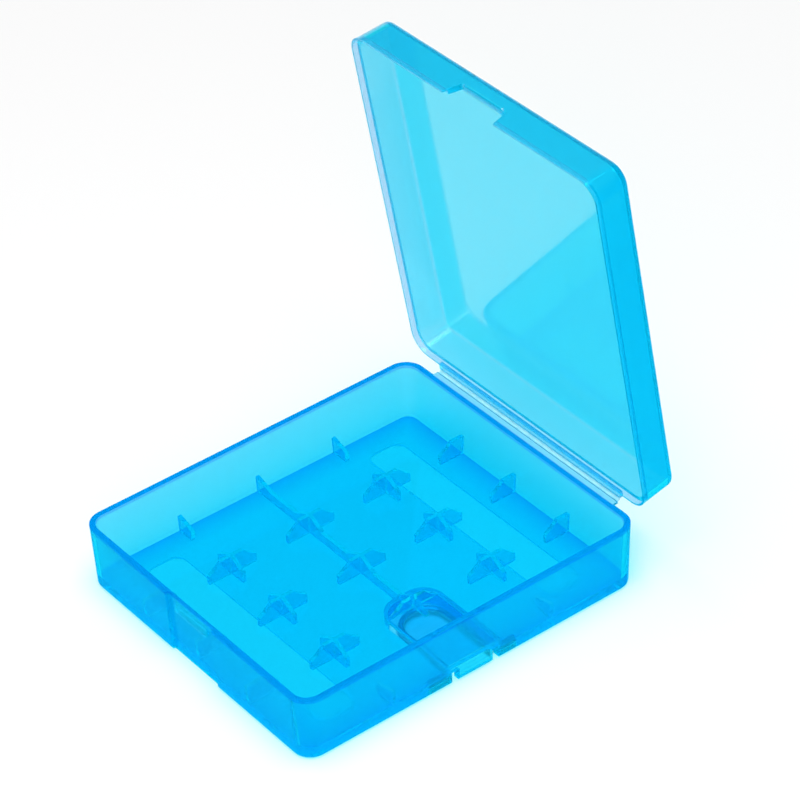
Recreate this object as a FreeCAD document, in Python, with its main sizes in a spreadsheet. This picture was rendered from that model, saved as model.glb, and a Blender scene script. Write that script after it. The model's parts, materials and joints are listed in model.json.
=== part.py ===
import FreeCAD, Part

import math
import os

import Sketcher

# A hinged storage case for four round cells that lie side by side.
#
# Frame: millimetres, +Z up, origin at the centre of the flat underside of the base.
# The cells lie along X, in lanes that follow each other along Y.  The latch side is
# -Y, the hinge side is +Y and the hanging hook is under the +X wall.  The lid stands
# open and the hook is folded away under the base.

LANES = 4                           # cells that lie side by side
COLUMNS = 3                         # crosses between two lanes
HALF_TURN = 180                     # degrees

SIZES = [
    # the two shells
    ("case_width", 72.0),           # outside, along the cells, at the rim
    ("case_depth", 81.6),           # outside, across the lanes, at the rim
    ("base_height", 14.6),
    ("lid_height", 8.05),
    ("parting_gap", 0.15),          # between the two rims when the case is shut
    ("wall_thickness", 1.25),       # at the rim
    ("corner_radius", 4.4),         # outside, at the rim
    ("foot_inset", 0.5),            # outer draft of the base over its height
    ("inner_inset", 0.9),           # inner draft of the base down to the floor
    ("floor_thickness", 2.2),
    ("foot_fillet", 0.8),
    ("lid_panel", 1.0),
    ("lid_outer_inset", 0.35),      # outer draft of the lid over its height
    ("lid_inner_inset", 0.6),       # inner draft of the lid up to its panel
    ("lid_fillet", 1.1),
    ("rebate_depth", 1.15),         # step inside the lid's rim, which leaves a thin lip
    ("rebate_lip", 0.4),
    # the cells and the fins that cradle them
    ("cell_lift", 1.1),             # underside of a cell above the floor
    ("cell_gap", 0.85),             # between two cells that lie side by side
    ("lane_slack", 0.3),            # inside depth less the lanes
    ("column_slack", 1.3),          # inside width less the pitches of the columns
    ("fin_thickness", 0.9),
    ("fin_height", 4.3),
    ("cradle_reach", 5.7),          # half length of a fin that cradles two cells
    ("lane_reach", 4.1),            # half length of a fin that parts two lanes
    ("lane_fin_end", 2.3),          # height of that fin at its ends
    ("rib_height", 2.2),
    ("side_fin_reach", 4.2),        # fins on the two walls that the cells point at
    ("side_fin_height", 3.6),
    # shallow recesses under the first and the last lane
    ("recess_end_gap", 4.85),       # recess to the end of its lane
    ("recess_lane_gap", 4.05),      # recess to the next lane
    ("recess_wall_gap", 6.65),      # recess to the wall
    ("recess_depth", 0.5),
    ("recess_corner", 2.5),
    ("recess_slope", 15.0),         # lean of the recess's sides, from upright
    # latch side: finger bay, catch, notch and rolled lip
    ("bay_width", 15.0),
    ("bay_depth", 0.75),
    ("catch_width", 10.0),
    ("catch_drop", 3.4),            # rim to the underside of the ridge
    ("catch_height", 2.4),
    ("catch_nose", 0.5),
    ("notch_width", 15.0),
    ("notch_height", 4.1),
    ("notch_slope", 1.0),           # each end leans in by this much
    ("lip_radius", 0.85),
    ("lip_clearance", 0.4),         # lip end to notch end
    # living hinge
    ("hinge_width", 56.0),
    ("hinge_reach", 1.7),           # rim to the bending axis
    ("flange_reach", 1.2),          # rim to the end of a flange
    ("base_flange_thickness", 0.5),
    ("lid_flange_thickness", 0.85),
    ("web_thickness", 0.3),
    ("web_inset", 0.2),             # web end to flange end
    ("open_angle", 81.3),           # how far the lid stands open
    # hanging hook and the pocket it folds into
    ("wire_diameter", 1.2),
    ("hook_axis_inset", 3.0),       # trunnions from the outside of the wall, at the rim
    ("hook_axis_height", 1.15),
    ("hook_reach", 17.5),           # trunnions to the middle of the wire at the loop's end
    ("leg_spacing", 9.9),
    ("bend_radius", 1.0),
    ("trunnion_span", 20.8),
    ("bore_clearance", 0.05),       # radial, trunnion in its seat
    ("snap_width", 0.9),            # mouth of the seat, narrower than the wire
    ("leg_clearance", 0.3),         # beside each leg, in the pocket and in the wall slots
    ("slot_height", 2.9),
    ("pocket_gap", 2.4),            # middle of the wire at the loop's end to the pocket's end
    ("pocket_wall", 0.75),
    ("pocket_roof", 1.0),
    ("pocket_height", 4.1),         # top of the pocket above the underside
    ("pocket_end_radius", 5.0),
    # how far a cut runs on past the face that it opens
    ("cut_margin", 1.0),
]

doc = FreeCAD.newDocument("BatteryCase")
sheet = doc.addObject("Spreadsheet::Sheet", "Sizes")
for row, (alias, number) in enumerate(SIZES, start=1):
    sheet.set("A%d" % row, alias)
    sheet.set("B%d" % row, str(number))
    sheet.setAlias("B%d" % row, alias)
doc.recompute()

# Places that several pieces share, as expressions of the sheet.
RIM_X = "(Sizes.case_width / 2)"
RIM_Y = "(Sizes.case_depth / 2)"
RIM_Z = "Sizes.base_height"
FLOOR_Z = "Sizes.floor_thickness"
INSIDE_DEPTH = f"({RIM_Z} - {FLOOR_Z})"
INSIDE_X = f"({RIM_X} - Sizes.wall_thickness - Sizes.inner_inset)"
INSIDE_Y = f"({RIM_Y} - Sizes.wall_thickness - Sizes.inner_inset)"
INNER_RADIUS = "(Sizes.corner_radius - Sizes.wall_thickness)"
LANE_PITCH = f"((2 * {INSIDE_Y} - Sizes.lane_slack) / {LANES})"
COLUMN_PITCH = f"((2 * {INSIDE_X} - Sizes.column_slack) / {COLUMNS + 1})"
CELL_RADIUS = f"(({LANE_PITCH} - Sizes.cell_gap) / 2)"
CELL_AXIS = f"(Sizes.cell_lift + {CELL_RADIUS})"
HINGE_Y = f"({RIM_Y} + Sizes.hinge_reach)"
FLANGE_Y = f"({RIM_Y} + Sizes.flange_reach)"
LID_Z = f"({RIM_Z} + Sizes.parting_gap)"
LID_TOP = f"({LID_Z} + Sizes.lid_height)"
LEG_Y = "(Sizes.leg_spacing / 2)"
LEG_ROOM = "(Sizes.wire_diameter / 2 + Sizes.leg_clearance)"
HOOK_X = f"({RIM_X} - Sizes.hook_axis_inset)"
LOOP_X = f"({HOOK_X} - Sizes.hook_reach)"
CAVITY_X = f"({LOOP_X} - Sizes.pocket_gap)"
CAVITY_Y = f"({LEG_Y} + {LEG_ROOM})"
CAVITY_END_RADIUS = "(Sizes.pocket_end_radius - Sizes.pocket_wall)"
POCKET_X = f"({CAVITY_X} - Sizes.pocket_wall)"
POCKET_Y = f"({CAVITY_Y} + Sizes.pocket_wall)"
BORE_RADIUS = "(Sizes.wire_diameter / 2 + Sizes.bore_clearance)"

subparts = []


def value(expression):
    """The number that an expression of the sheet gives now."""
    result = sheet.evalExpression(str(expression))
    return float(getattr(result, "Value", result))


def outer_face(height, rim):
    """Outer face of the drafted base wall at a height, on the side whose rim is given."""
    return f"({rim} - Sizes.foot_inset * (Sizes.base_height - ({height})) / Sizes.base_height)"


def inner_face(height, inside):
    """Inner face of the drafted base wall at a height, from its place at the floor."""
    rise = f"(({height}) - Sizes.floor_thickness)"
    return f"({inside} + Sizes.inner_inset * {rise} / {INSIDE_DEPTH})"


def new_body(label):
    """A body that is written out as one node under its label."""
    body = doc.addObject("PartDesign::Body", label)
    body.Label = label
    subparts.append(body)
    return body


def new_sketch(body, name, plane, offset=None):
    """An empty sketch on one of the body's own origin planes, or at an offset from it."""
    sketch = body.newObject("Sketcher::SketchObject", name)
    support = [f for f in body.Origin.OriginFeatures if f.Role == plane][0]
    sketch.AttachmentSupport = [(support, "")]
    sketch.MapMode = "FlatFace"
    if offset is not None:
        sketch.setExpression("AttachmentOffset.Base.z", offset)
    return sketch


def pin_point(sketch, geometry, vertex, x, y):
    """Ties one end of a sketch line or arc to a place given by two expressions."""
    for kind, place in (("DistanceX", x), ("DistanceY", y)):
        index = sketch.addConstraint(
            Sketcher.Constraint(kind, -1, 1, geometry, vertex, value(place)))
        sketch.setExpression("Constraints[%d]" % index, str(place))


def draw_outline(sketch, corners, closed=True):
    """Draws an outline through corners (x, y) or (x, y, (radius, side)).

    The third entry bends the run that starts at its corner into an arc.  The side is 1
    where the arc's centre lies to the left of the run, and -1 where it lies to the right.
    """
    points = [FreeCAD.Vector(value(c[0]), value(c[1]), 0) for c in corners]
    runs = len(corners) if closed else len(corners) - 1
    ends = []
    for i in range(runs):
        start, end = points[i], points[(i + 1) % len(points)]
        if len(corners[i]) == 2:
            index = sketch.addGeometry(Part.LineSegment(start, end), False)
            ends.append((index, 1, 2))
            continue
        expression, side = corners[i][2]
        radius = value(expression)
        chord = end - start
        middle = (start + end) * 0.5
        left = FreeCAD.Vector(-chord.y, chord.x, 0).normalize()
        rise = math.sqrt(max(radius ** 2 - (chord.Length / 2) ** 2, 0.0))
        centre = middle + left * (rise * side)
        circle = Part.Circle(centre, FreeCAD.Vector(0, 0, 1), radius)
        first, last = (start, end) if side > 0 else (end, start)
        turn = [math.atan2(p.y - centre.y, p.x - centre.x) for p in (first, last)]
        index = sketch.addGeometry(Part.ArcOfCircle(circle, turn[0], turn[1]), False)
        ends.append((index, 1, 2) if side > 0 else (index, 2, 1))
    for i in range(runs):
        geometry, start, end = ends[i]
        if closed or i + 1 < runs:
            following = ends[(i + 1) % runs]
            sketch.addConstraint(
                Sketcher.Constraint("Coincident", geometry, end, following[0], following[1]))
        pin_point(sketch, geometry, start, corners[i][0], corners[i][1])
        if len(corners[i]) == 3:
            index = sketch.addConstraint(
                Sketcher.Constraint("Radius", geometry, value(corners[i][2][0])))
            sketch.setExpression("Constraints[%d]" % index, corners[i][2][0])
    if not closed:
        pin_point(sketch, ends[-1][0], ends[-1][2], corners[-1][0], corners[-1][1])


def rectangle(low_x, low_y, high_x, high_y):
    """Corners of a plain rectangle."""
    return [(low_x, low_y), (high_x, low_y), (high_x, high_y), (low_x, high_y)]


def round_rectangle(half_x, half_y, radius, middle="0"):
    """Corners of a rectangle with rounded corners, about the middle of X and a place on Y."""
    near_x, near_y = f"({half_x} - {radius})", f"({half_y} - {radius})"
    bend = (radius, 1)
    return [
        (f"-{near_x}", f"({middle} - {half_y})"), (near_x, f"({middle} - {half_y})", bend),
        (half_x, f"({middle} - {near_y})"), (half_x, f"({middle} + {near_y})", bend),
        (near_x, f"({middle} + {half_y})"), (f"-{near_x}", f"({middle} + {half_y})", bend),
        (f"-({half_x})", f"({middle} + {near_y})"), (f"-({half_x})", f"({middle} - {near_y})", bend),
    ]


def pad(body, sketch, length, both_ways=False, down=False, taper=None):
    """Adds material over a length along the sketch's normal."""
    feature = body.newObject("PartDesign::Pad", sketch.Name + "Pad")
    feature.Profile = sketch
    feature.setExpression("Length", length)
    feature.SideType = "Symmetric" if both_ways else "One side"
    feature.Reversed = down
    if taper is not None:
        feature.setExpression("TaperAngle", taper)


def pocket(body, sketch, length, both_ways=False, reverse=False, taper=None):
    """Takes material away over a length, and makes sure that it did."""
    doc.recompute()
    before = body.Shape.Volume
    feature = body.newObject("PartDesign::Pocket", sketch.Name + "Cut")
    feature.Profile = sketch
    feature.setExpression("Length", length)
    feature.SideType = "Symmetric" if both_ways else "One side"
    feature.Reversed = reverse
    if taper is not None:
        feature.setExpression("TaperAngle", taper)
    doc.recompute()
    if not body.Shape.Volume < before - 1e-6:
        raise RuntimeError(feature.Name + " cuts nothing")


def round_level_edges(body, height, radius):
    """Rounds the edges of the body that lie in the level plane at a height."""
    doc.recompute()
    base = body.Tip
    level = value(height)
    names = []
    for number, edge in enumerate(base.Shape.Edges, start=1):
        box = edge.BoundBox
        if abs(box.ZMin - level) < 1e-4 and abs(box.ZMax - level) < 1e-4:
            names.append("Edge%d" % number)
    feature = body.newObject("PartDesign::Fillet", body.Name + "Fillet")
    feature.Base = (base, names)
    feature.setExpression("Radius", radius)


def make_base_tray():
    """The open tray: drafted walls, floor, bay, hook cavity, seats and slots."""
    body = new_body("base_tray")
    foot_x, foot_y = f"({RIM_X} - Sizes.foot_inset)", f"({RIM_Y} - Sizes.foot_inset)"
    foot_radius = "(Sizes.corner_radius - Sizes.foot_inset)"
    foot = new_sketch(body, "Foot", "XY_Plane")
    draw_outline(foot, round_rectangle(foot_x, foot_y, foot_radius))
    pad(body, foot, RIM_Z, taper="atan(Sizes.foot_inset / Sizes.base_height)")
    round_level_edges(body, "0", "Sizes.foot_fillet")

    rim_x, rim_y = f"({RIM_X} - Sizes.wall_thickness)", f"({RIM_Y} - Sizes.wall_thickness)"
    inside = new_sketch(body, "Inside", "XY_Plane", RIM_Z)
    draw_outline(inside, round_rectangle(rim_x, rim_y, INNER_RADIUS))
    pocket(body, inside, INSIDE_DEPTH, taper=f"-atan(Sizes.inner_inset / {INSIDE_DEPTH})")

    half_x = f"({INSIDE_X} - Sizes.recess_end_gap)"
    near = f"({LANES / 2 - 1} * {LANE_PITCH} + Sizes.recess_lane_gap)"
    far = f"({INSIDE_Y} - Sizes.recess_wall_gap)"
    half_y = f"(({far} - {near}) / 2)"
    for name, side in (("LatchRecess", "-1"), ("HingeRecess", "1")):
        recess = new_sketch(body, name, "XY_Plane")
        draw_outline(recess, round_rectangle(half_x, half_y, "Sizes.recess_corner",
                                             f"{side} * ({near} + {half_y})"))
        pocket(body, recess, "Sizes.recess_depth", reverse=True, taper="-Sizes.recess_slope")

    bay = new_sketch(body, "Bay", "YZ_Plane")
    below, above = "-Sizes.cut_margin", f"({RIM_Z} + Sizes.cut_margin)"
    beyond = f"-({RIM_Y} + Sizes.cut_margin)"
    draw_outline(bay, [(beyond, below), (bay_face(below), below),
                       (bay_face(above), above), (beyond, above)])
    pocket(body, bay, "Sizes.bay_width", both_ways=True)

    cavity = new_sketch(body, "Cavity", "XY_Plane")
    draw_outline(cavity, pocket_outline(CAVITY_X, CAVITY_Y, INSIDE_X, CAVITY_END_RADIUS))
    pocket(body, cavity, FLOOR_Z, reverse=True)

    seat = new_sketch(body, "TrunnionSeat", "XZ_Plane")
    height, mouth, below = "Sizes.hook_axis_height", "Sizes.snap_width / 2", "-Sizes.cut_margin"
    lip = f"({height} - sqrt(pow({BORE_RADIUS}; 2) - pow({mouth}; 2)))"
    bend = (BORE_RADIUS, 1)
    draw_outline(seat, [
        (f"{HOOK_X} - {mouth}", below), (f"{HOOK_X} + {mouth}", below),
        (f"{HOOK_X} + {mouth}", lip, bend), (HOOK_X, f"{height} + {BORE_RADIUS}", bend),
        (f"{HOOK_X} - {mouth}", lip)])
    pocket(body, seat, "Sizes.trunnion_span + 2 * Sizes.leg_clearance", both_ways=True)

    for name, side in (("LatchSlot", "-1"), ("HingeSlot", "1")):
        slot = new_sketch(body, name, "YZ_Plane", INSIDE_X)
        near, far = f"{side} * ({LEG_Y} - {LEG_ROOM})", f"{side} * {CAVITY_Y}"
        draw_outline(slot, rectangle(near, "-Sizes.cut_margin", far, "Sizes.slot_height"))
        pocket(body, slot, f"{RIM_X} - {INSIDE_X} + Sizes.cut_margin", reverse=True)


def bay_face(height):
    """The finger bay's back face, at a height; it keeps the draft of the wall."""
    return f"-({outer_face(height, RIM_Y)} - Sizes.bay_depth)"


def pocket_outline(end_x, half_y, wall_x, radius):
    """Plan of the hook pocket: square to the wall and rounded at its inner end."""
    bend = (radius, -1)
    return [
        (wall_x, f"-{half_y}"), (f"{end_x} + {radius}", f"-{half_y}", bend),
        (end_x, f"-({half_y} - {radius})"), (end_x, f"({half_y} - {radius})", bend),
        (f"{end_x} + {radius}", half_y), (wall_x, half_y)]


def make_catch():
    """Low wedge in the bay under the rim: flat below, sloping above."""
    body = new_body("catch_ridge")
    profile = new_sketch(body, "CatchProfile", "YZ_Plane")
    low = f"({RIM_Z} - Sizes.catch_drop)"
    nose, top = f"({low} + Sizes.catch_nose)", f"({low} + Sizes.catch_height)"
    draw_outline(profile, [
        (bay_face(low), low), (bay_face(top), top),
        (f"{bay_face(nose)} - Sizes.catch_nose", nose),
        (f"{bay_face(low)} - Sizes.catch_nose", low)])
    pad(body, profile, "Sizes.catch_width", both_ways=True)


def make_hook_pocket():
    """Raised roof over the folded hook, with its inner end rounded."""
    body = new_body("hook_pocket")
    beyond = f"({INSIDE_X} + Sizes.cut_margin)"
    rise = f"(Sizes.pocket_height - {FLOOR_Z})"
    outside = new_sketch(body, "PocketOutside", "XY_Plane", FLOOR_Z)
    draw_outline(outside, pocket_outline(POCKET_X, POCKET_Y, beyond, "Sizes.pocket_end_radius"))
    pad(body, outside, rise)
    hollow = new_sketch(body, "PocketHollow", "XY_Plane", FLOOR_Z)
    draw_outline(hollow, pocket_outline(CAVITY_X, CAVITY_Y, beyond, CAVITY_END_RADIUS))
    pocket(body, hollow, f"{rise} - Sizes.pocket_roof", reverse=True)
    # the end against the wall keeps the wall's draft
    wall = new_sketch(body, "PocketWallFace", "XZ_Plane")
    low, high = f"({FLOOR_Z} - Sizes.cut_margin)", "(Sizes.pocket_height + Sizes.cut_margin)"
    past = f"({beyond} + Sizes.cut_margin)"
    draw_outline(wall, [(inner_face(low, INSIDE_X), low), (past, low), (past, high),
                        (inner_face(high, INSIDE_X), high)])
    pocket(body, wall, f"2 * ({POCKET_Y} + Sizes.cut_margin)", both_ways=True)


def cradle_flat(centre_gap):
    """Half width of a cradle fin's flat top, from its centre to the cell's arc."""
    drop = f"({CELL_AXIS} - Sizes.fin_height)"
    return f"({centre_gap} - sqrt(pow({CELL_RADIUS}; 2) - pow({drop}; 2)))"


def cradle_tip(centre_gap, reach):
    """Height of a cradle fin's end, where the cell's arc meets it."""
    return f"({CELL_AXIS} - sqrt(pow({CELL_RADIUS}; 2) - pow({centre_gap} - {reach}; 2)))"


def make_cross(label, x, y, on_pocket=False):
    """A fin that cradles two cells, crossed by a fin that parts their lanes."""
    body = new_body(label)
    gap, reach = f"({LANE_PITCH} / 2)", "Sizes.cradle_reach"
    flat, tip, top = cradle_flat(gap), cradle_tip(gap, reach), "Sizes.fin_height"
    cradle = new_sketch(body, label + "Cradle", "YZ_Plane")
    draw_outline(cradle, [
        (f"-{reach}", "0"), (reach, "0"), (reach, tip, (CELL_RADIUS, -1)), (flat, top),
        (f"-{flat}", top, (CELL_RADIUS, -1)), (f"-{reach}", tip)])
    pad(body, cradle, "Sizes.fin_thickness", both_ways=True)
    lane = new_sketch(body, label + "Lane", "XZ_Plane")
    half, end = "Sizes.fin_thickness / 2", "Sizes.lane_fin_end"
    draw_outline(lane, [
        ("-Sizes.lane_reach", "0"), ("Sizes.lane_reach", "0"), ("Sizes.lane_reach", end),
        (half, top), (f"-{half}", top), ("-Sizes.lane_reach", end)])
    pad(body, lane, "Sizes.fin_thickness", both_ways=True)
    if on_pocket:
        # this cross stands on the roof of the hook pocket
        room = new_sketch(body, label + "PocketRoom", "XY_Plane")
        draw_outline(room, pocket_outline(f"({POCKET_X} - {x})", POCKET_Y, f"({INSIDE_X} - {x})",
                                          "Sizes.pocket_end_radius"))
        pocket(body, room, f"Sizes.pocket_height - {FLOOR_Z}", reverse=True)
    body.setExpression("Placement.Base.x", x)
    body.setExpression("Placement.Base.y", y)
    body.setExpression("Placement.Base.z", FLOOR_Z)


def make_cradle_fin(label, x, side):
    """Half a cradle fin against the latch wall (side -1) or the hinge wall (side 1)."""
    body = new_body(label)
    gap = f"({INSIDE_Y} - {(LANES - 1) / 2} * {LANE_PITCH})"
    reach = f"({INSIDE_Y} - {LANES / 2} * {LANE_PITCH} + Sizes.cradle_reach)"
    tip = f"({FLOOR_Z} + {cradle_tip(gap, reach)})"
    top = f"({FLOOR_Z} + Sizes.fin_height)"
    profile = new_sketch(body, label + "Profile", "YZ_Plane")
    draw_outline(profile, [
        (f"{side} * {INSIDE_Y}", FLOOR_Z),
        (f"{side} * {inner_face(top, INSIDE_Y)}", top),
        (f"{side} * ({INSIDE_Y} - {cradle_flat(gap)})", top, (CELL_RADIUS, -side)),
        (f"{side} * ({INSIDE_Y} - {reach})", tip),
        (f"{side} * ({INSIDE_Y} - {reach})", FLOOR_Z)])
    pad(body, profile, "Sizes.fin_thickness", both_ways=True)
    body.setExpression("Placement.Base.x", x)


def make_lane_fin(label, y, side):
    """A fin that parts two lanes, against the left wall (side -1) or the hook wall (side 1)."""
    body = new_body(label)
    tip, top = f"({FLOOR_Z} + Sizes.lane_fin_end)", f"({FLOOR_Z} + Sizes.side_fin_height)"
    profile = new_sketch(body, label + "Profile", "XZ_Plane")
    end = f"{side} * ({INSIDE_X} - Sizes.side_fin_reach)"
    draw_outline(profile, [
        (f"{side} * {INSIDE_X}", FLOOR_Z), (f"{side} * {inner_face(top, INSIDE_X)}", top),
        (end, tip), (end, FLOOR_Z)])
    pad(body, profile, "Sizes.fin_thickness", both_ways=True)
    body.setExpression("Placement.Base.y", y)


def make_rib(label, start, end):
    """A run of the low middle rib, which ties the crosses of the middle row together."""
    body = new_body(label)
    section = new_sketch(body, label + "Section", "XZ_Plane")
    draw_outline(section, rectangle(start, FLOOR_Z, end, f"({FLOOR_Z} + Sizes.rib_height)"))
    pad(body, section, "Sizes.fin_thickness", both_ways=True)


def make_fins():
    """Crosses between the lanes, half fins on the walls, and the middle rib."""
    middle_row, middle_column = LANES / 2, (COLUMNS + 1) / 2
    rows = [(n, f"({n - middle_row} * {LANE_PITCH})") for n in range(1, LANES)]
    columns = [(n, f"({n - middle_column} * {COLUMN_PITCH})") for n in range(1, COLUMNS + 1)]
    for row, y in rows:
        over_pocket = row == middle_row
        for column, x in columns:
            make_cross(f"cell_cross_{row}_{column}", x, y, over_pocket and column == COLUMNS)
        make_lane_fin(f"left_wall_fin_{row}", y, -1)
        if not over_pocket:
            make_lane_fin(f"hook_wall_fin_{row}", y, 1)
    for column, x in columns:
        make_cradle_fin(f"latch_wall_fin_{column}", x, -1)
        make_cradle_fin(f"hinge_wall_fin_{column}", x, 1)
    ends = [f"({x} - Sizes.lane_reach)" for _, x in columns]
    starts = [f"(Sizes.side_fin_reach - {INSIDE_X})"]
    starts += [f"({x} + Sizes.lane_reach)" for _, x in columns[:-1]]
    ends[-1] = f"min({POCKET_X}; {ends[-1]})"
    for n, (start, end) in enumerate(zip(starts, ends), start=1):
        make_rib(f"middle_rib_{n}", start, end)


def place_open(body):
    """Turns a piece of the lid from shut to open, about the hinge's bending axis."""
    body.Placement = FreeCAD.Placement(
        FreeCAD.Vector(), FreeCAD.Rotation(FreeCAD.Vector(1, 0, 0), -value("Sizes.open_angle")))
    turn = "Sizes.open_angle"
    body.setExpression("Placement.Rotation.Angle", f"-{turn}")
    body.setExpression("Placement.Base.y",
                       f"{HINGE_Y} - {HINGE_Y} * cos({turn}) - {RIM_Z} * sin({turn})")
    body.setExpression("Placement.Base.z",
                       f"{RIM_Z} + {HINGE_Y} * sin({turn}) - {RIM_Z} * cos({turn})")


def make_lid_shell():
    """The lid, drawn shut: drafted skirt, flat panel and the notch over the finger bay."""
    body = new_body("lid_shell")
    outside = new_sketch(body, "LidOutside", "XY_Plane", LID_Z)
    draw_outline(outside, round_rectangle(RIM_X, RIM_Y, "Sizes.corner_radius"))
    pad(body, outside, "Sizes.lid_height", taper="-atan(Sizes.lid_outer_inset / Sizes.lid_height)")
    round_level_edges(body, LID_TOP, "Sizes.lid_fillet")
    inside = new_sketch(body, "LidInside", "XY_Plane", LID_Z)
    half_x, half_y = f"({RIM_X} - Sizes.wall_thickness)", f"({RIM_Y} - Sizes.wall_thickness)"
    draw_outline(inside, round_rectangle(half_x, half_y, INNER_RADIUS))
    depth = "(Sizes.lid_height - Sizes.lid_panel)"
    pocket(body, inside, depth, reverse=True, taper=f"-atan(Sizes.lid_inner_inset / {depth})")
    rebate = new_sketch(body, "LidRebate", "XY_Plane", LID_Z)
    half_x, half_y = f"({RIM_X} - Sizes.rebate_lip)", f"({RIM_Y} - Sizes.rebate_lip)"
    radius = "(Sizes.corner_radius - Sizes.rebate_lip)"
    draw_outline(rebate, round_rectangle(half_x, half_y, radius))
    pocket(body, rebate, "Sizes.rebate_depth", reverse=True)
    notch = new_sketch(body, "LidNotch", "XZ_Plane", f"{RIM_Y} + Sizes.cut_margin")
    top, below = f"({LID_Z} + Sizes.notch_height)", f"({LID_Z} - Sizes.cut_margin)"
    narrow = "(Sizes.notch_width / 2 - Sizes.notch_slope)"
    spread = "(Sizes.notch_slope * Sizes.cut_margin / Sizes.notch_height)"
    wide = f"(Sizes.notch_width / 2 + {spread})"
    draw_outline(notch, [(f"-{wide}", below), (wide, below), (narrow, top), (f"-{narrow}", top)])
    pocket(body, notch, "Sizes.wall_thickness + Sizes.lid_inner_inset + 2 * Sizes.cut_margin")
    place_open(body)


def make_lid_lip():
    """Half-round lip along the top of the notch, for the thumb that lifts the lid."""
    body = new_body("lid_lift_lip")
    end = "(Sizes.notch_width / 2 - Sizes.notch_slope - Sizes.lip_clearance)"
    straight = f"({end} - Sizes.lip_radius)"
    profile = new_sketch(body, "LipProfile", "XZ_Plane", f"{RIM_Y} - Sizes.wall_thickness / 2")
    profile.setExpression("AttachmentOffset.Base.y", f"{LID_Z} + Sizes.notch_height")
    bend = ("Sizes.lip_radius", 1)
    draw_outline(profile, [
        (f"-{end}", "0", bend), (f"-{straight}", "-Sizes.lip_radius"),
        (straight, "-Sizes.lip_radius", bend), (end, "0")])
    feature = body.newObject("PartDesign::Revolution", "LipTurn")
    feature.Profile = profile
    feature.ReferenceAxis = (profile, ["H_Axis"])
    feature.Angle = HALF_TURN
    feature.Midplane = True
    place_open(body)


def make_flange(label, low, high, wall_low, wall_high):
    """Stiff strip of the hinge, from a drafted wall out to the web."""
    body = new_body(label)
    profile = new_sketch(body, label + "Profile", "YZ_Plane")
    draw_outline(profile, [(wall_low, low), (FLANGE_Y, low), (FLANGE_Y, high), (wall_high, high)])
    pad(body, profile, "Sizes.hinge_width", both_ways=True)
    return body


def make_hinge():
    """Living hinge: a flange on each shell and the thin web that bends between them."""
    low = f"({RIM_Z} - Sizes.base_flange_thickness)"
    make_flange("hinge_base_flange", low, RIM_Z, outer_face(low, RIM_Y), RIM_Y)
    thick = "Sizes.lid_flange_thickness"
    lid_wall = f"({RIM_Y} - Sizes.lid_outer_inset * {thick} / Sizes.lid_height)"
    place_open(make_flange("hinge_lid_flange", LID_Z, f"({LID_Z} + {thick})", RIM_Y, lid_wall))

    # The web leaves the base flange level, runs straight a little, and then bends up to
    # meet the lid flange.  It turns through what the lid lacks of lying flat.
    web = new_body("hinge_web")
    thin, half = "Sizes.web_thickness", "Sizes.web_thickness / 2"
    arm, rise = "(Sizes.hinge_reach - Sizes.flange_reach)", f"(Sizes.parting_gap + {half})"
    turn = "Sizes.open_angle"
    run_y = f"({arm} - {arm} * cos({turn}) + {rise} * sin({turn}))"
    run_z = f"({half} + {arm} * sin({turn}) + {rise} * cos({turn}))"
    radius = f"({run_z} / (1 + cos({turn})))"
    straight = f"({run_y} - {radius} * sin({turn}))"
    width = "(Sizes.hinge_width / 2 - Sizes.web_inset)"
    level = new_sketch(web, "WebLevel", "XZ_Plane", f"-{FLANGE_Y}")
    draw_outline(level, rectangle(f"-{width}", f"({RIM_Z} - {thin})", width, RIM_Z))
    pad(web, level, straight, down=True)
    bend = new_sketch(web, "WebBend", "XZ_Plane", f"-({FLANGE_Y} + {straight})")
    bend.setExpression("AttachmentOffset.Base.y", f"{RIM_Z} - {half} + {radius}")
    draw_outline(bend, rectangle(f"-{width}", f"-({radius} + {half})", width,
                                 f"-({radius} - {half})"))
    feature = web.newObject("PartDesign::Revolution", "WebTurn")
    feature.Profile = bend
    feature.ReferenceAxis = (bend, ["H_Axis"])
    feature.setExpression("Angle", f"{HALF_TURN} - {turn}")


def make_hook():
    """Hanging hook: one bent wire, with a loop and two trunnions turned outward."""
    body = new_body("hanger_hook")
    bend, end = "Sizes.bend_radius", "Sizes.trunnion_span / 2"
    path = new_sketch(body, "HookPath", "XY_Plane", "Sizes.hook_axis_height")
    elbow_x, elbow_y = f"({HOOK_X} - {bend})", f"({LEG_Y} + {bend})"
    turn_x = f"({LOOP_X} + {LEG_Y})"
    draw_outline(path, [
        (HOOK_X, f"-{end}"), (HOOK_X, f"-{elbow_y}", (bend, 1)),
        (elbow_x, f"-{LEG_Y}"), (turn_x, f"-{LEG_Y}", (LEG_Y, -1)),
        (LOOP_X, "0", (LEG_Y, -1)), (turn_x, LEG_Y), (elbow_x, LEG_Y, (bend, 1)),
        (HOOK_X, elbow_y), (HOOK_X, end)], closed=False)
    wire = new_sketch(body, "HookWire", "XZ_Plane", end)
    place = FreeCAD.Vector(value(HOOK_X), value("Sizes.hook_axis_height"), 0)
    radius = value("Sizes.wire_diameter") / 2
    wire.addGeometry(Part.Circle(place, FreeCAD.Vector(0, 0, 1), radius), False)
    pin_point(wire, 0, 3, HOOK_X, "Sizes.hook_axis_height")
    wire.addConstraint(Sketcher.Constraint("Diameter", 0, 2 * radius))
    wire.setExpression("Constraints[2]", "Sizes.wire_diameter")
    feature = body.newObject("PartDesign::AdditivePipe", "HookBend")
    feature.Profile = wire
    feature.Spine = (path, [f"Edge{n}" for n in range(1, path.GeometryCount + 1)])


make_base_tray()
make_catch()
make_hook_pocket()
make_fins()
make_hinge()
make_lid_shell()
make_lid_lip()
make_hook()
doc.recompute()

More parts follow.
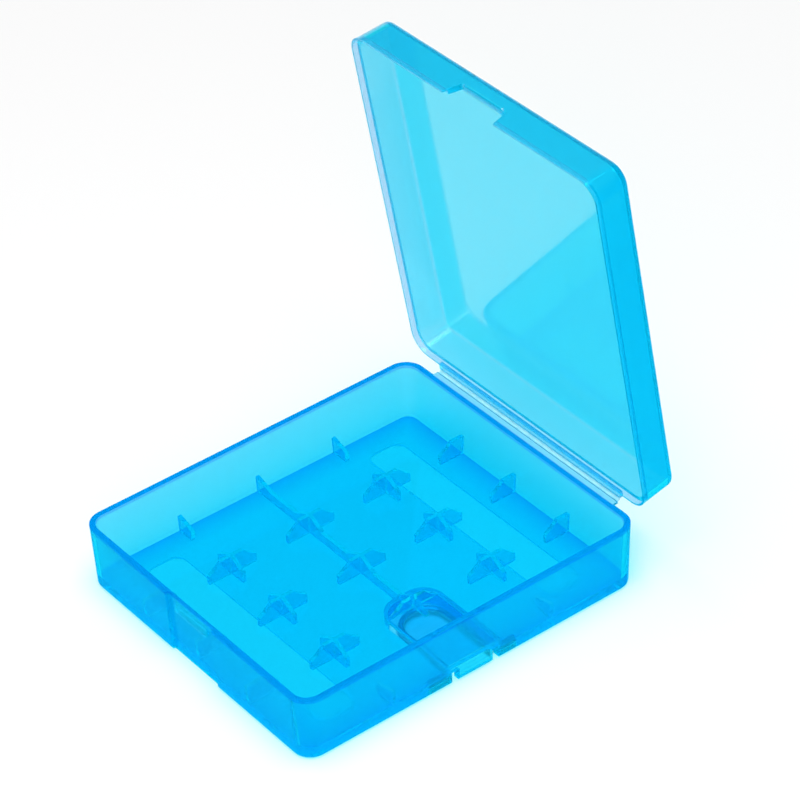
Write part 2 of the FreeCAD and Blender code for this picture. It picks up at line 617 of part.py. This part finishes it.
for item in doc.Objects:
    if "Invalid" in item.State or "Error" in item.State:
        raise RuntimeError(f"{item.Label} failed: {item.State}")
os.makedirs("parts", exist_ok=True)
for body in subparts:
    if body.Shape.isNull() or not body.Shape.isValid():
        raise RuntimeError(f"{body.Label} has no valid shape")
    body.Shape.exportStep(f"parts/{body.Label}.step")
    print(f"{body.Label}: {len(body.Shape.Solids)} solid, {body.Shape.Volume:.2f} mm3")
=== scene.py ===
import json
import math

import bmesh
import bpy
from mathutils import Matrix, Vector
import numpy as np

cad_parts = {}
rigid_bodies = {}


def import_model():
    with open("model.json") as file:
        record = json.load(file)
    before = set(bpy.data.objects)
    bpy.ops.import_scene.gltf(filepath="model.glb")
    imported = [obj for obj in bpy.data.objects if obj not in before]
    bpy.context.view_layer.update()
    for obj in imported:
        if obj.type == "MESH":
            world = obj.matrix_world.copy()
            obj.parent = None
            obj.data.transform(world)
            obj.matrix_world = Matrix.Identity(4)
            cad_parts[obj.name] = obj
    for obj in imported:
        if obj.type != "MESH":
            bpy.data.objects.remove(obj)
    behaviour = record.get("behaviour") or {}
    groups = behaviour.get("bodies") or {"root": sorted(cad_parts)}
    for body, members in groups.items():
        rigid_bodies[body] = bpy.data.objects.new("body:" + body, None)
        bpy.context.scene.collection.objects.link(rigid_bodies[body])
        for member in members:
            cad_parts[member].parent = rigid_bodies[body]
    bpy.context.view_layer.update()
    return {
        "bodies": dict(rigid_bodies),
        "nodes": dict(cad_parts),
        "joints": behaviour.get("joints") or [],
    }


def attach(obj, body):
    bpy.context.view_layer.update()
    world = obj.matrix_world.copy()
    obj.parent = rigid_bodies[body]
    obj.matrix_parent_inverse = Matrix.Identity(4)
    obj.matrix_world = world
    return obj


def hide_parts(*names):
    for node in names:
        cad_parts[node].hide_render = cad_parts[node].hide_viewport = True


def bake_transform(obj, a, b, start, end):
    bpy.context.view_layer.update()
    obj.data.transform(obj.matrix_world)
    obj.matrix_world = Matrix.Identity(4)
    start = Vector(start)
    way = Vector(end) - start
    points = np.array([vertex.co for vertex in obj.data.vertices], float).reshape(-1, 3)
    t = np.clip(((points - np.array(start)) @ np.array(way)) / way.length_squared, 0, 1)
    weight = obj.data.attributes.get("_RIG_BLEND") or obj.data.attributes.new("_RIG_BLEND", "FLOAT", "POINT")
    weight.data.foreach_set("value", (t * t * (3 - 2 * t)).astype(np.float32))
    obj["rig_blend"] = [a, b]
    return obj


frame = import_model()
nodes = frame["nodes"]
lid_hinge = next(joint for joint in frame["joints"] if joint["name"] == "lid_hinge")

# Lengths are in millimetres, unless a comment says otherwise, and are turned into metres by MM.
# Colours are linear. Directions and places in a piece are those of the frame at rest.
MM = 0.001
WHITE = (1.0, 1.0, 1.0, 1.0)


def heights_of(name):
    """The lowest and highest point of a CAD node."""
    heights = [vertex.co.z / MM for vertex in nodes[name].data.vertices]
    return min(heights), max(heights)


# how far the lid leans from shut, and what follows from it
OPEN = math.radians(lid_hinge["range_deg"][1])
LID_PANEL = (0.0, -math.sin(OPEN), -math.cos(OPEN))     # out of the panel's inner face
UP_THE_LID = (0.0, -math.cos(OPEN), math.sin(OPEN))     # along the panel, away from the hinge

# the case, where painted shade and light change its colour by place
FACE_BAND = 0.03                # half the height in which a level face is looked for
FLOOR_TOP, _ = heights_of("cell_cross_1_1")     # the crosses stand on the floor
_, POCKET_TOP = heights_of("hook_pocket")
TRAY_HALF = (33.85, 38.65)      # from the middle to the walls, at the floor
TRAY_CORNER = 3.0
WALL_SHADE_REACH = 6.0
RECESS_DEPTH = 0.5              # of the shallow recesses under the foot
RIM_Z = lid_hinge["pos_m"][2] / MM      # the lid turns on a line that is level with the base's rim
RIM_BAND = 0.6
HINGE_SIDE = 40.75              # the base's tones end here, short of its hinge flange
POCKET_ROOF = ((22.9, 10.8), (0.0, 6.8), (POCKET_TOP, FACE_BAND))   # middle and half in x, y and z
# painted light: the lid's skirts below are left paler than the rest of the lid
LIT_LEFT_SKIRT = (-33.8, -33.2)     # the lid's left skirt, from all to none, in x
LIT_HINGE_SKIRT = (4.0, 4.6)        # its skirt by the hinge, from all to none, up the lid
POLISH_END = (32.6, 33.4)       # its polish, from all to none, in x

# what shows of the plastic
REFRACTION_INDEX = 1.49
BASE_TINT = (0.9, 0.8, 0.99)    # let through by the two skins of a wall
LID_TINT = (0.9, 0.78, 0.99)
BASE_ABSORBED = (1300.0, 20.0, 2.0)     # taken off along a metre
LID_ABSORBED = (1000.0, 5.0, 2.0)
DENSITY_MARGIN = 1.001          # keeps every colour of the volume above nothing
BASE_MILK = 0.13                # milky shares
STEP_MILK = 0.75
LID_MILK = 0.1
MILK_COLOR = (0.0, 0.72, 1.0, 1.0)
# painted shade on the tray's floor, darkest at the walls
FLOOR_SHADE_TONES = (                 # from the walls inwards
    (0.0, (0.5, 0.54, 0.96, 1.0)),
    (0.08, (0.5, 0.61, 0.98, 1.0)),
    (0.18, (0.5, 0.68, 0.98, 1.0)),
    (0.45, (0.5, 0.77, 0.98, 1.0)),
    (1.0, (0.5, 0.9, 1.0, 1.0)),
)
# painted shade under the case, on its underside
FOOT_SHADE = (0.9, 0.86, 0.99, 1.0)
# painted shade in a band round the base's rim
RIM_SHADE = (0.7, 0.64, 0.98, 1.0)
# painted shade on the hook pocket's roof
POCKET_ROOF_SHADE = (0.15, 0.62, 0.97, 1.0)
# the lid's tone away from its skirts, which painted light leaves paler
LID_TONE_PAST_LIT_SKIRTS = (0.55, 1.0, 1.0, 1.0)
INNER_ROUGHNESS = 0.16          # of what passes through
SKIN_ROUGHNESS = 0.06           # of what the skin mirrors
ROUGHNESS_SPREAD = 0.3          # up and down, as a share
SKIN_GRAIN = (900.0, 3.0)       # waves in a metre, and octaves
FLOW_GRAIN = (60.0, 2.0)
BUMP_DEPTH = 0.02
BUMP_STRENGTH = 0.25
MIRROR_TONES = ((0.8, (0.03, 0.8, 1.0, 1.0)), (0.95, (0.98, 1.0, 1.0, 1.0)))    # by the share mirrored
POLISH_COLOR = (0.95, 1.0, 1.0, 1.0)
PANEL_GLOSS = 1.25
SKIRT_GLOSS = 1.9
PANEL_ALIGNED = (0.95, 0.995)   # how well a face lines up with the panel, from none to all
LAMP_COLOR = (0.78, 0.93, 0.98)     # let through by the two skins of a wall, of the lamps' light
LAMP_SHARE = 0.5                # how dense the plastic is to the lamps' light, as a share

# the living hinge's web and the hook
WEB_START = (0.0, 42.0, 14.45)  # the middle of the web where it leaves the base
WEB_END = (0.0, 42.72, 15.14)   # and where it meets the lid
WEB_GRAIN = (700.0, 4.0)
WEB_TONES = ((0.35, (0.34, 0.68, 0.86, 1.0)), (0.65, (0.5, 0.8, 0.9, 1.0)))
WEB_ROUGHNESS = 0.4
STEEL_COLOR = (0.55, 0.57, 0.6, 1.0)
STEEL_GRAIN = (1500.0, 2.0)
STEEL_ROUGHNESS = (0.18, 0.32)

# the meshes
MERGE_DISTANCE = 0.002
FLAT_ANGLE = math.radians(0.5)
SHARP_ANGLE = math.radians(30)
KEPT_ATTRIBUTES = ("position", ".edge_verts", ".corner_vert", ".corner_edge")

# the stage, in metres
FLOOR_REACH = 6.0
FLOOR_DROP = 0.00015
PAPER_COLOR = (0.96, 0.96, 0.96, 1.0)
PAPER_FADE = (0.2, 0.4)         # from the case, where lit paper turns into plain white
SKY_LEVELS = (0.95, 0.12)       # near the horizon and higher up
SKY_RISE = (16, 32)             # degrees
OVERHEAD_LAMP = ((0.1, -0.1, 1.3), (0.0, 0.0, 0.0), (1.0, 1.0), 15.5)    # place, target, size, watts
KEY_LAMP = ((1.0, -0.9, 0.9), (0.0, 0.0, 0.02), (0.8, 0.6), 6.2)

# the camera, as it was fitted to the photograph
CAMERA_TURN = math.radians(53.545)
CAMERA_RISE = math.radians(37.065)
CAMERA_ROLL = math.radians(-2.85)
CAMERA_DISTANCE = 723.38
CAMERA_SHIFT = (7.819, 27.366)  # right and up
AIM_HEIGHT = 10.0
FOCAL_PIXELS = 3719.744
PICTURE_PIXELS = 800
SENSOR_WIDTH = 36.0
CLIP_RANGE = (0.01, 50)         # metres
BOUNCES = {
    "max_bounces": 40,
    "transmission_bounces": 40,
    "transparent_max_bounces": 32,
    "glossy_bounces": 40,
}


# ---- nodes of a shader

def feed(tree, socket, value):
    """Links a socket to another one, or sets it to a constant."""
    if isinstance(value, bpy.types.NodeSocket):
        tree.links.new(value, socket)
    else:
        socket.default_value = value


def shader(tree, kind, **values):
    """The first output of a new node. An underscore in an input's name stands for a space."""
    made = tree.nodes.new(kind)
    for name, value in values.items():
        feed(tree, made.inputs[name.replace("_", " ")], value)
    return made.outputs[0]


def maths(tree, operation, *values, clamp=False):
    made = tree.nodes.new("ShaderNodeMath")
    made.operation = operation
    made.use_clamp = clamp
    for socket, value in zip(made.inputs, values):
        feed(tree, socket, value)
    return made.outputs[0]


def vector_maths(tree, operation, *values):
    made = tree.nodes.new("ShaderNodeVectorMath")
    made.operation = operation
    for socket, value in zip(made.inputs, values):
        feed(tree, socket, value)
    gives_number = operation in ("LENGTH", "DOT_PRODUCT")
    return made.outputs["Value" if gives_number else "Vector"]


def split(tree, vector):
    made = tree.nodes.new("ShaderNodeSeparateXYZ")
    feed(tree, made.inputs[0], vector)
    return made.outputs["X"], made.outputs["Y"], made.outputs["Z"]


def largest(tree, *values):
    found = values[0]
    for value in values[1:]:
        found = maths(tree, "MAXIMUM", found, value)
    return found


def product(tree, *values):
    found = values[0]
    for value in values[1:]:
        found = maths(tree, "MULTIPLY", found, value)
    return found


def near(tree, value, middle, half):
    """1 where a length lies within half of the middle, and otherwise 0."""
    return maths(tree, "COMPARE", value, middle * MM, half * MM)


def spread(tree, value, low, high, start=0.0, end=1.0, soft=False):
    """Low where the value is start, high where it is end, and on a line or an easy curve between."""
    made = tree.nodes.new("ShaderNodeMapRange")
    made.interpolation_type = "SMOOTHSTEP" if soft else "LINEAR"
    inputs = {"Value": value, "From Min": start, "From Max": end, "To Min": low, "To Max": high}
    for name, given in inputs.items():
        feed(tree, made.inputs[name], given)
    return made.outputs["Result"]


def blend_colors(tree, share, first, second, how="MIX"):
    made = tree.nodes.new("ShaderNodeMix")
    made.data_type = "RGBA"
    made.blend_type = how
    for number, value in ((0, share), (6, first), (7, second)):
        feed(tree, made.inputs[number], value)
    return made.outputs[2]


def blend_shaders(tree, share, first, second):
    made = tree.nodes.new("ShaderNodeMixShader")
    for socket, value in zip(made.inputs, (share, first, second)):
        feed(tree, socket, value)
    return made.outputs[0]


def color_ramp(tree, value, tones):
    made = tree.nodes.new("ShaderNodeValToRGB")
    feed(tree, made.inputs[0], value)
    elements = made.color_ramp.elements
    for element, (at, color) in zip(elements, (tones[0], tones[-1])):
        element.position = at
        element.color = color
    for at, color in tones[1:-1]:
        elements.new(at).color = color
    return made.outputs["Color"]


def noise(tree, place, grain):
    made = tree.nodes.new("ShaderNodeTexNoise")
    scale, detail = grain
    for name, value in (("Vector", place), ("Scale", scale), ("Detail", detail)):
        feed(tree, made.inputs[name], value)
    return made.outputs["Fac"]


def is_ray(tree, *kinds):
    """1 for a ray of any of these kinds, such as Camera, and otherwise 0."""
    path = tree.nodes.new("ShaderNodeLightPath")
    return largest(tree, *(path.outputs[f"Is {kind} Ray"] for kind in kinds))


def new_material(name):
    """A material without nodes, its tree, and its texture coordinates."""
    material = bpy.data.materials.new(name)
    material.use_nodes = True
    tree = material.node_tree
    tree.nodes.clear()
    return material, tree, tree.nodes.new("ShaderNodeTexCoord").outputs


def set_output(tree, surface, volume=None):
    out = tree.nodes.new("ShaderNodeOutputMaterial")
    feed(tree, out.inputs["Surface"], surface)
    if volume is not None:
        feed(tree, out.inputs["Volume"], volume)


# ---- the plastic, by place

def floor_wall_shade(tree, place):
    """Painted shade on the tray's floor: what it lets through darkens close to the walls, by its distance to
    their rounded rectangle.
    """
    level = vector_maths(tree, "MULTIPLY", place, (1.0, 1.0, 0.0))
    straight = [(half - TRAY_CORNER) * MM for half in TRAY_HALF]
    beyond = vector_maths(tree, "SUBTRACT", vector_maths(tree, "ABSOLUTE", level), [*straight, 0.0])
    in_corner = vector_maths(tree, "LENGTH", vector_maths(tree, "MAXIMUM", beyond, (0.0, 0.0, 0.0)))
    beyond_x, beyond_y, _ = split(tree, beyond)
    inside = maths(tree, "MINIMUM", maths(tree, "MAXIMUM", beyond_x, beyond_y), 0.0)
    depth = maths(tree, "ADD", in_corner, inside)
    wall_shade_fade = spread(tree, depth, 0.0, 1.0,
                       start=TRAY_CORNER * MM, end=(TRAY_CORNER - WALL_SHADE_REACH) * MM)
    return color_ramp(tree, wall_shade_fade, FLOOR_SHADE_TONES)


def base_painted_shade(tree, place):
    """What the base's faces let through, with painted shade: its floor by the walls, foot, rim and pocket
    roof are darkened by tones of their own.
    """
    x, y, z = split(tree, place)
    before_hinge = maths(tree, "LESS_THAN", y, HINGE_SIDE * MM)
    shade = WHITE
    for level, half, tone in (
            (FLOOR_TOP, FACE_BAND, floor_wall_shade(tree, place)),
            (0.0, FACE_BAND, FOOT_SHADE),
            (RIM_Z, RIM_BAND, RIM_SHADE)):
        here = product(tree, near(tree, z, level, half), before_hinge)
        shade = blend_colors(tree, here, shade, tone)
    # painted shade: the pocket is hollow below its roof, and its roof is darkened to stay as blue as the
    # floor
    on_roof = product(tree, *(near(tree, value, *span) for value, span in zip((x, y, z), POCKET_ROOF)))
    return blend_colors(tree, on_roof, shade, POCKET_ROOF_SHADE)


def lid_painted_light(tree, place):
    """What the lid's faces let through, with painted light: its skirts on the left and by the hinge are
    paler, letting through most.
    """
    from_hinge = vector_maths(tree, "SUBTRACT", place, lid_hinge["pos_m"])
    height = vector_maths(tree, "DOT_PRODUCT", from_hinge, UP_THE_LID)
    x, _, _ = split(tree, place)
    past_lit_skirts = [spread(tree, value, 0.0, 1.0, start * MM, end * MM, soft=True)
                   for value, (start, end) in ((x, LIT_LEFT_SKIRT), (height, LIT_HINGE_SKIRT))]
    return blend_colors(tree, maths(tree, "MINIMUM", *past_lit_skirts), WHITE, LID_TONE_PAST_LIT_SKIRTS)


def step_cloud(tree, place):
    """The base's milky share: the low steps between foot and recess are too short to be polished."""
    middle = RECESS_DEPTH / 2
    on_step = near(tree, split(tree, place)[2], middle, middle - FACE_BAND)
    return spread(tree, on_step, BASE_MILK, STEP_MILK)


def lid_polish(tree, place, normal):
    """How white the lid mirrors, and how much more: its skirt over the hook isn't polished."""
    aligned = maths(tree, "ABSOLUTE", vector_maths(tree, "DOT_PRODUCT", normal, LID_PANEL))
    on_panel = spread(tree, aligned, 0.0, 1.0, *PANEL_ALIGNED, soft=True)
    gloss = spread(tree, on_panel, SKIRT_GLOSS, PANEL_GLOSS)
    full, none = POLISH_END
    polished = spread(tree, split(tree, place)[0], 0.0, 1.0, none * MM, full * MM, soft=True)
    return polished, spread(tree, polished, 1.0, gloss)


# ---- materials

def clear_plastic(name, tint, absorbed, shade, milk, polish=None):
    """Translucent blue polypropylene.

    shade and polish are functions of a place on it. milk, the milky share, is one too or a number."""
    material, tree, coords = new_material(name)
    place = coords["Object"]
    bump = shader(tree, "ShaderNodeBump", Strength=BUMP_STRENGTH, Distance=BUMP_DEPTH * MM,
                  Height=noise(tree, place, SKIN_GRAIN))
    flow = noise(tree, place, FLOW_GRAIN)
    inner_roughness, skin_roughness = (
        spread(tree, flow, middle * (1 - ROUGHNESS_SPREAD), middle * (1 + ROUGHNESS_SPREAD))
        for middle in (INNER_ROUGHNESS, SKIN_ROUGHNESS))
    skin_tint = [math.sqrt(share) for share in tint] + [1.0]
    # painted shade and light, by place, tint what passes through the skin
    inward = shader(tree, "ShaderNodeBsdfRefraction", IOR=REFRACTION_INDEX, Roughness=inner_roughness,
                    Color=blend_colors(tree, 1.0, skin_tint, shade(tree, place), "MULTIPLY"), Normal=bump)

    # the pigment colours what the skin mirrors, apart from light that it turns back whole
    mirrored = shader(tree, "ShaderNodeFresnel", IOR=REFRACTION_INDEX, Normal=bump)
    mirror_color = color_ramp(tree, mirrored, MIRROR_TONES)
    if polish:
        polished, gloss = polish(tree, place, coords["Normal"])
        mirror_color = blend_colors(tree, polished, mirror_color, POLISH_COLOR)
        mirrored = maths(tree, "MULTIPLY", mirrored, gloss, clamp=True)
    mirror = shader(tree, "ShaderNodeBsdfGlossy", Color=mirror_color, Roughness=skin_roughness, Normal=bump)
    clear = blend_shaders(tree, mirrored, inward, mirror)
    # half of the milky part's light is turned back, and half goes on
    milky = blend_shaders(tree, 0.5, shader(tree, "ShaderNodeBsdfDiffuse", Color=MILK_COLOR),
                          shader(tree, "ShaderNodeBsdfTranslucent", Color=MILK_COLOR))
    milky_share = milk(tree, place) if callable(milk) else milk
    body = blend_shaders(tree, milky_share, clear, milky)

    # lamps shine through it, so that its shadow is soft and blue
    from_lamp = is_ray(tree, "Shadow", "Diffuse")
    see_through = shader(tree, "ShaderNodeBsdfTransparent",
                         Color=[math.sqrt(share) for share in LAMP_COLOR] + [1.0])
    density = max(absorbed) * DENSITY_MARGIN
    set_output(tree, blend_shaders(tree, from_lamp, body, see_through),
               shader(tree, "ShaderNodeVolumeAbsorption",
                      Density=spread(tree, from_lamp, density, density * LAMP_SHARE),
                      Color=[1 - taken / density for taken in absorbed] + [1.0]))
    return material


def whitened_plastic(name):
    """Polypropylene gone white where it bends."""
    material, tree, coords = new_material(name)
    tone = color_ramp(tree, noise(tree, coords["Object"], WEB_GRAIN), WEB_TONES)
    set_output(tree, shader(tree, "ShaderNodeBsdfPrincipled", Base_Color=tone, Roughness=WEB_ROUGHNESS))
    return material


def drawn_steel(name):
    material, tree, coords = new_material(name)
    roughness = spread(tree, noise(tree, coords["Object"], STEEL_GRAIN), *STEEL_ROUGHNESS)
    set_output(tree, shader(tree, "ShaderNodeBsdfPrincipled", Base_Color=STEEL_COLOR, Metallic=1.0,
                            Roughness=roughness))
    return material


def floor_paper(name):
    """White paper that keeps the case's shadow and is plain white, in any light, past it."""
    material, tree, coords = new_material(name)
    away = spread(tree, vector_maths(tree, "LENGTH", coords["Object"]), 0.0, 1.0, *PAPER_FADE, soft=True)
    seen = is_ray(tree, "Camera", "Glossy", "Transmission")
    paper = shader(tree, "ShaderNodeBsdfDiffuse", Color=PAPER_COLOR)
    white = shader(tree, "ShaderNodeEmission", Strength=1.0)
    set_output(tree, blend_shaders(tree, product(tree, away, seen), paper, white))
    return material


# ---- the pieces

def link(obj):
    bpy.context.scene.collection.objects.link(obj)
    return obj


def fused_mesh(name, names):
    """One closed mesh round CAD solids that are moulded in one shot."""
    operands = bpy.data.collections.new(name + "_operands")
    bpy.context.scene.collection.children.link(operands)
    for other in names[1:]:
        operands.objects.link(bpy.data.objects.new(other + "_operand", nodes[other].data.copy()))
    first = link(bpy.data.objects.new(name + "_first", nodes[names[0]].data.copy()))
    modifier = first.modifiers.new("union", "BOOLEAN")
    modifier.operation = "UNION"
    modifier.solver = "EXACT"
    modifier.operand_type = "COLLECTION"
    modifier.collection = operands
    found = first.evaluated_get(bpy.context.evaluated_depsgraph_get())
    work = bmesh.new()
    work.from_mesh(found.to_mesh())
    for obj in [first, *operands.objects]:
        bpy.data.objects.remove(obj)
    bpy.data.collections.remove(operands)
    bmesh.ops.remove_doubles(work, verts=work.verts, dist=MERGE_DISTANCE * MM)
    bmesh.ops.dissolve_limit(work, angle_limit=FLAT_ANGLE, verts=work.verts, edges=work.edges)
    mesh = bpy.data.meshes.new(name)
    work.to_mesh(mesh)
    work.free()
    for attribute in list(mesh.attributes):
        if attribute.name not in KEPT_ATTRIBUTES:
            mesh.attributes.remove(attribute)
    return mesh


def new_piece(name, mesh, material):
    mesh.materials.clear()
    mesh.materials.append(material)
    mesh.shade_smooth()
    mesh.set_sharp_from_angle(angle=SHARP_ANGLE)
    return link(bpy.data.objects.new(name, mesh))


def moulding(body, first, material, left_out=()):
    """A body's solids as one skin. The first named solid is the one that the others are joined to."""
    on_body = frame["bodies"][body].name
    others = sorted(name for name, obj in nodes.items()
                    if obj.parent.name == on_body and name != first and name not in left_out)
    names = [first, *others]
    piece = new_piece("case_" + body, fused_mesh("case_" + body, names), material)
    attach(piece, body)
    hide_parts(*names)


def hinge_web(material):
    web = new_piece("case_hinge_web", nodes["hinge_web"].data.copy(), material)
    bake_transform(web, "base", "lid", [v * MM for v in WEB_START], [v * MM for v in WEB_END])
    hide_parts("hinge_web")


# ---- the stage

def paper_floor():
    mesh = bpy.data.meshes.new("floor")
    corners = [(x * FLOOR_REACH, y * FLOOR_REACH, 0.0) for x, y in ((-1, -1), (1, -1), (1, 1), (-1, 1))]
    mesh.from_pydata(corners, [], [(0, 1, 2, 3)])
    mesh.materials.append(floor_paper("floor_paper"))
    floor = link(bpy.data.objects.new("floor", mesh))
    floor.location.z = -FLOOR_DROP


def white_surroundings():
    """Bright near the horizon and dim higher up. What the camera sees, also through plastic, is white."""
    world = bpy.data.worlds.new("studio")
    bpy.context.scene.world = world
    world.use_nodes = True
    tree = world.node_tree
    tree.nodes.clear()
    direction = tree.nodes.new("ShaderNodeTexCoord").outputs["Generated"]
    start, end = (math.sin(math.radians(angle)) for angle in SKY_RISE)
    level = spread(tree, split(tree, direction)[2], *SKY_LEVELS, start, end, soft=True)
    level = largest(tree, level, is_ray(tree, "Camera", "Transmission"))
    out = tree.nodes.new("ShaderNodeOutputWorld")
    feed(tree, out.inputs["Surface"], shader(tree, "ShaderNodeBackground", Strength=level))


def softbox(name, place, target, size, watts):
    lamp = bpy.data.lights.new(name, "AREA")
    lamp.shape = "RECTANGLE"
    lamp.size, lamp.size_y = size
    lamp.energy = watts
    obj = link(bpy.data.objects.new(name, lamp))
    obj.location = place
    obj.rotation_euler = (Vector(target) - Vector(place)).to_track_quat("-Z", "Y").to_euler()


def photograph_camera():
    back = Vector((math.sin(CAMERA_TURN) * math.cos(CAMERA_RISE),
                   -math.cos(CAMERA_TURN) * math.cos(CAMERA_RISE),
                   math.sin(CAMERA_RISE)))
    right = (-back).cross(Vector((0, 0, 1))).normalized()
    up = right.cross(-back)
    cosine, sine = math.cos(CAMERA_ROLL), math.sin(CAMERA_ROLL)
    right, up = right * cosine + up * sine, up * cosine - right * sine
    shift_right, shift_up = CAMERA_SHIFT
    place = back * CAMERA_DISTANCE + right * shift_right + up * shift_up + Vector((0, 0, AIM_HEIGHT))
    camera = bpy.data.cameras.new("camera")
    camera.sensor_width = SENSOR_WIDTH
    camera.lens = FOCAL_PIXELS / PICTURE_PIXELS * SENSOR_WIDTH
    camera.clip_start, camera.clip_end = CLIP_RANGE
    eye = link(bpy.data.objects.new("camera", camera))
    eye.matrix_world = Matrix.Translation(place * MM) @ Matrix((right, up, back)).transposed().to_4x4()
    bpy.context.scene.camera = eye


base_plastic = clear_plastic("base_polypropylene", BASE_TINT, BASE_ABSORBED, base_painted_shade, step_cloud)
lid_plastic = clear_plastic("lid_polypropylene", LID_TINT, LID_ABSORBED, lid_painted_light, LID_MILK, lid_polish)
moulding("base", "base_tray", base_plastic, left_out=("hinge_web",))
moulding("lid", "lid_shell", lid_plastic)
hinge_web(whitened_plastic("whitened_web"))
nodes["hanger_hook"].data.materials.clear()
nodes["hanger_hook"].data.materials.append(drawn_steel("hook_steel"))

paper_floor()
white_surroundings()
softbox("overhead", *OVERHEAD_LAMP)
softbox("key", *KEY_LAMP)
photograph_camera()
bpy.context.scene.view_settings.view_transform = "Standard"
for name, count in BOUNCES.items():
    setattr(bpy.context.scene.cycles, name, count)
